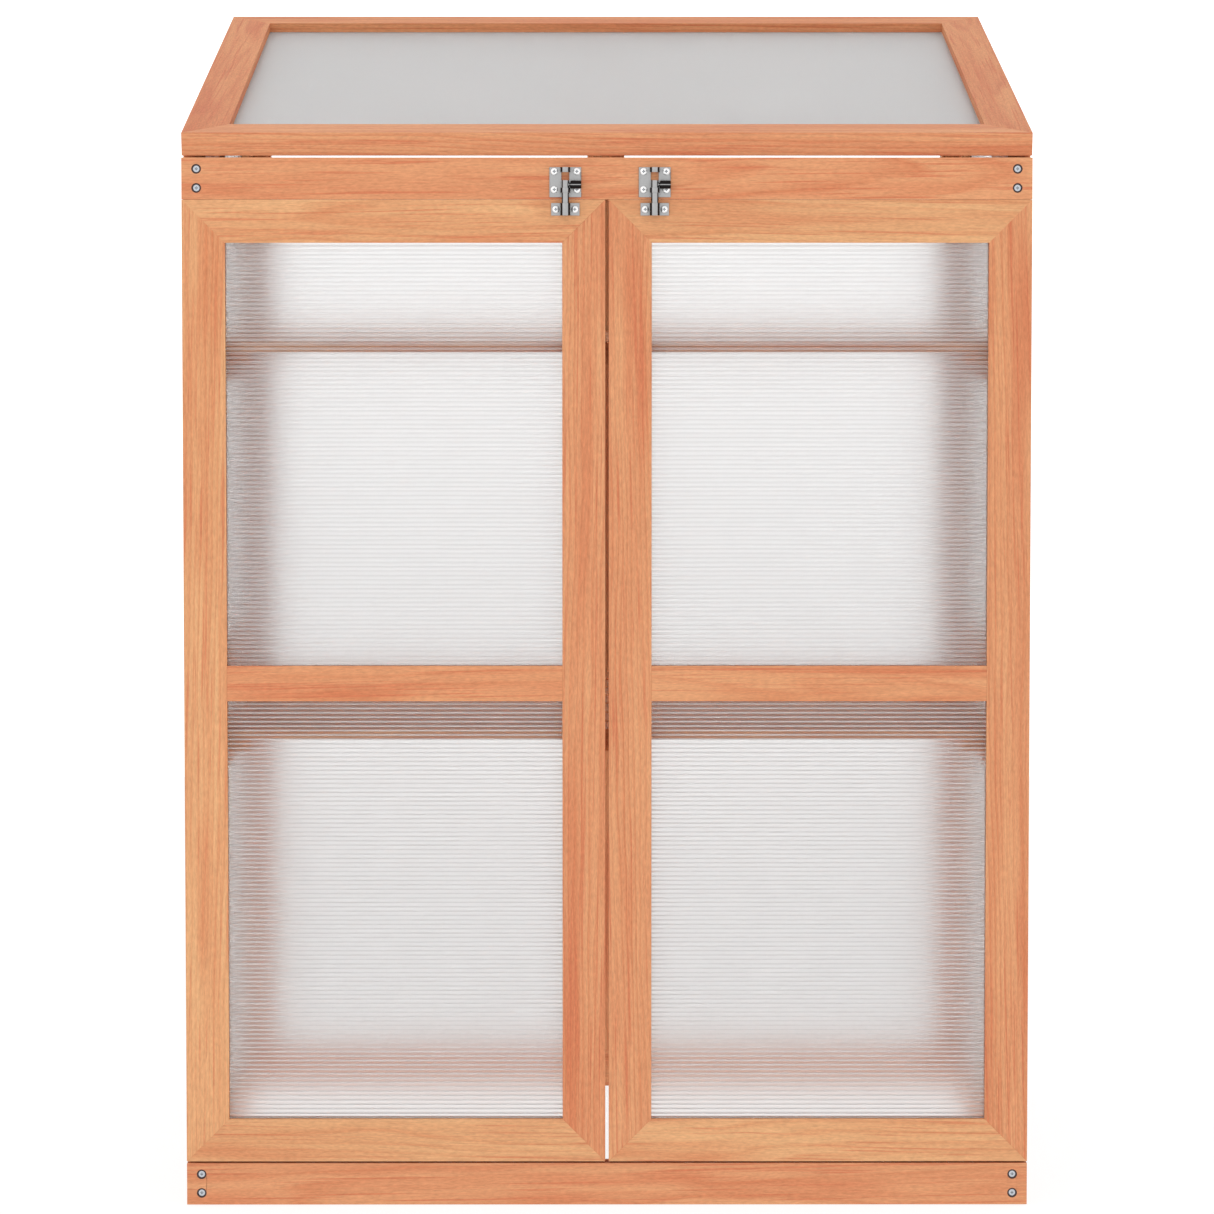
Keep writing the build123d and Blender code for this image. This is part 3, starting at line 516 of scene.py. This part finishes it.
def prism(mesh, profile, start, end, to_world):
    """A closed bar whose profile, in b and c, runs along a from start to end."""
    rings = [[mesh.verts.new(to_world(a, b, c)) for b, c in profile] for a in (start, end)]
    count = len(profile)
    for i in range(count):
        j = (i + 1) % count
        mesh.faces.new((rings[0][i], rings[0][j], rings[1][j], rings[1][i]))
    mesh.faces.new(list(reversed(rings[0])))
    mesh.faces.new(rings[1])


def rippled_profile(low, high, half):
    """The sheet's cross-section: its two faces sink a little at every rib."""
    count = int((high - low) / FLUTE)
    face = [(low, half)]
    for i in range(1, count + 1):
        b = low + i * FLUTE
        if b + RIB < high:
            face += [(b - 2 * RIB, half), (b, half - RIPPLE), (b + 2 * RIB, half)]
    face.append((high, half))
    return face + [(b, -c) for b, c in reversed(face)]


def build_pane(name, body, axes, box, cut=None, clear=CLEAR):
    """A twin-wall sheet in a box given in its own a, b, c axes, with ribs along a.

    cut is the point and normal of a plane beyond which nothing is left.
    """
    a_axis, b_axis, c_axis = axes
    (a0, a1), (b0, b1), (c0, c1) = box
    mid, half = (c0 + c1) / 2, (c1 - c0) / 2

    def to_world(a, b, c):
        return a_axis * a + b_axis * b + c_axis * (mid + c)

    pieces = []
    for part, material in (("sheet", sheet_material(name, b_axis, clear)), ("ribs", RIBS)):
        mesh = bmesh.new()
        if part == "sheet":
            prism(mesh, rippled_profile(b0, b1, half), a0, a1, to_world)
        else:
            inner = half - SKIN
            for i in range(1, int((b1 - b0) / FLUTE) + 1):
                b = b0 + i * FLUTE
                if b + RIB < b1:
                    low, high = b - RIB / 2, b + RIB / 2
                    profile = [(low, -inner), (high, -inner), (high, inner), (low, inner)]
                    prism(mesh, profile, a0 + MM, a1 - MM, to_world)
        if cut:
            geometry = mesh.verts[:] + mesh.edges[:] + mesh.faces[:]
            point, normal = cut
            sliced = bmesh.ops.bisect_plane(
                mesh, geom=geometry, plane_co=point, plane_no=normal, clear_outer=True
            )
            edges = [e for e in sliced["geom_cut"] if isinstance(e, bmesh.types.BMEdge)]
            bmesh.ops.holes_fill(mesh, edges=edges)
        bmesh.ops.recalc_face_normals(mesh, faces=mesh.faces)
        piece = finished_piece(f"{name}_{part}", mesh, material)
        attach(piece, body)
        pieces.append(piece)
    return pieces


def spans(points, axes):
    """Lowest and highest of some points along each axis."""
    return [(min(p.dot(axis) for p in points), max(p.dot(axis) for p in points)) for axis in axes]


def split_points(node, axis, at):
    points = [v.co.copy() for v in NODES[node].data.vertices]
    low = [p for p in points if p.dot(axis) < at]
    high = [p for p in points if p.dot(axis) > at]
    return low, high


def pane_pair(node, body, axes, axis, at):
    """The two panes of one node, on either side of the board between them."""
    pieces = []
    for label, points in zip("ab", split_points(node, axis, at)):
        box = spans(points, axes)
        cut = sloped_top(points, axes) if label == "b" else None
        pieces += build_pane(f"{node}_{label}", body, axes, box, cut)
    for piece in pieces:
        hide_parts(node)


def sloped_top(points, axes):
    """The plane that cuts a pane's top where it follows the lid, or None for a level top."""
    a_axis, b_axis, _ = axes
    a0, a1 = spans(points, axes)[0]
    tops = []
    for end in (a0, a1):
        near = [p.dot(b_axis) for p in points if abs(p.dot(a_axis) - end) < MM]
        tops.append(max(near))
    if abs(tops[1] - tops[0]) < MM:
        return None
    along = (a_axis * (a1 - a0) + b_axis * (tops[1] - tops[0])).normalized()
    normal = along.cross(a_axis.cross(b_axis)).normalized()
    if normal.dot(b_axis) < 0:
        normal = -normal
    return a_axis * a0 + b_axis * tops[0], normal


def dress_panes():
    mid = middle(*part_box("left_door_mid_rail")).z
    for side in ("left", "right"):
        pane_pair(f"{side}_door_panes", f"{side}_door", (X, Z, Y), Z, mid)
        pane_pair(f"{side}_side_panes", "frame", (Y, Z, X), Z, mid)
    pane_pair("back_panes", "frame", (X, Z, Y), X, 0.0)
    points = [v.co.copy() for v in NODES["lid_pane"].data.vertices]
    axes = (X, UP_LID, OUT_LID)
    for piece in build_pane("lid_pane_sheet", "lid", axes, spans(points, axes), clear=LID_CLEAR):
        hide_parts("lid_pane")


# ---- floor, lights and camera ----
FLOOR_HALF = 3.0
FLOOR_GREY = 0.2
FLOOR_GLOW = 0.85


def build_floor():
    """A plain floor that glows almost white, so that the cold frame's shade on it stays faint."""
    mesh = bmesh.new()
    bmesh.ops.create_grid(mesh, x_segments=1, y_segments=1, size=FLOOR_HALF)
    material, _, shader = new_material("floor")
    shader.inputs["Base Color"].default_value = grey(FLOOR_GREY)
    shader.inputs["Roughness"].default_value = 1.0
    shader.inputs["Specular IOR Level"].default_value = 0.0
    shader.inputs["Emission Color"].default_value = grey(1.0)
    shader.inputs["Emission Strength"].default_value = FLOOR_GLOW
    floor = finished_piece("floor", mesh, material)
    floor.location.z = -MM


KEY_PLACE = Vector((-2.2, -3.2, 2.6))
KEY_TARGET = Vector((0, 0, 0.5))
KEY_SIZE = 2.0
KEY_POWER = 6


def build_key_light():
    data = bpy.data.lights.new("key", "AREA")
    data.shape = "RECTANGLE"
    data.size = data.size_y = KEY_SIZE
    data.energy = KEY_POWER
    light = bpy.data.objects.new("key", data)
    light.location = KEY_PLACE
    light.rotation_euler = (KEY_TARGET - KEY_PLACE).to_track_quat("-Z", "Y").to_euler()
    bpy.context.scene.collection.objects.link(light)


SKY_PEAK = 1.5
SKY_AHEAD = (  # brightness of the studio from straight down, 0, to straight up, 1
    (0.0, 1.0),
    (0.38, 1.0),
    (0.48, 1.1),
    (0.62, 1.15),
    (0.8, 0.95),
    (1.0, 0.95),
)
SKY_BEHIND = (
    (0.0, 1.0),
    (0.4, 1.0),
    (0.5, 1.45),
    (0.62, 1.5),
    (0.8, 1.0),
    (1.0, 0.95),
)


def build_lights():
    """A white studio all round, brightest just above the horizon behind the cold frame."""
    world = bpy.data.worlds.new("studio")
    world.use_nodes = True
    tree = world.node_tree
    direction = tree.nodes.new("ShaderNodeTexCoord").outputs["Generated"]
    split = new_node(tree, "ShaderNodeSeparateXYZ", [(0, direction)])
    share = math_node(tree, "MULTIPLY_ADD", split.outputs["Z"], 0.5)
    share.node.inputs[2].default_value = 0.5
    ahead, behind = (
        ramp(tree, share, [(at, grey(value / SKY_PEAK)) for at, value in half])
        for half in (SKY_AHEAD, SKY_BEHIND)
    )
    turn = ramp(tree, split.outputs["Y"], [(0.0, grey(0.0)), (0.3, grey(1.0))])
    sky = mix(tree, "MIX", turn, ahead, behind)
    background = tree.nodes["Background"]
    tree.links.new(sky, background.inputs["Color"])
    background.inputs["Strength"].default_value = SKY_PEAK
    bpy.context.scene.world = world
    build_key_light()
    bpy.context.scene.view_settings.view_transform = "Standard"


CAMERA_AHEAD = 4.075  # from the front of the boards to the camera
CAMERA_HEIGHT = 0.871
CAMERA_X = -0.008
AIM_HEIGHT = 0.5425
LENS = 135.0
SENSOR = 36.0
SHIFT_Y = -0.07


def build_camera():
    data = bpy.data.cameras.new("camera")
    data.lens = LENS
    data.sensor_width = SENSOR
    data.shift_y = SHIFT_Y
    camera = bpy.data.objects.new("camera", data)
    camera.location = (CAMERA_X, FRONT_Y - CAMERA_AHEAD, CAMERA_HEIGHT)
    bpy.context.scene.collection.objects.link(camera)
    bpy.context.scene.camera = camera
    aim = Vector((0, FRONT_Y, AIM_HEIGHT))
    drop = math.atan2(camera.location.z - aim.z, CAMERA_AHEAD)
    tilt = drop - math.atan(-SHIFT_Y * SENSOR / LENS)
    turn = math.atan2(camera.location.x - aim.x, CAMERA_AHEAD)
    camera.rotation_euler = (math.pi / 2 - tilt, 0, turn)


RIBS = rib_material()

build_camera()
build_lights()
build_floor()
dress_boards()
dress_metal()
build_rims()
dress_panes()
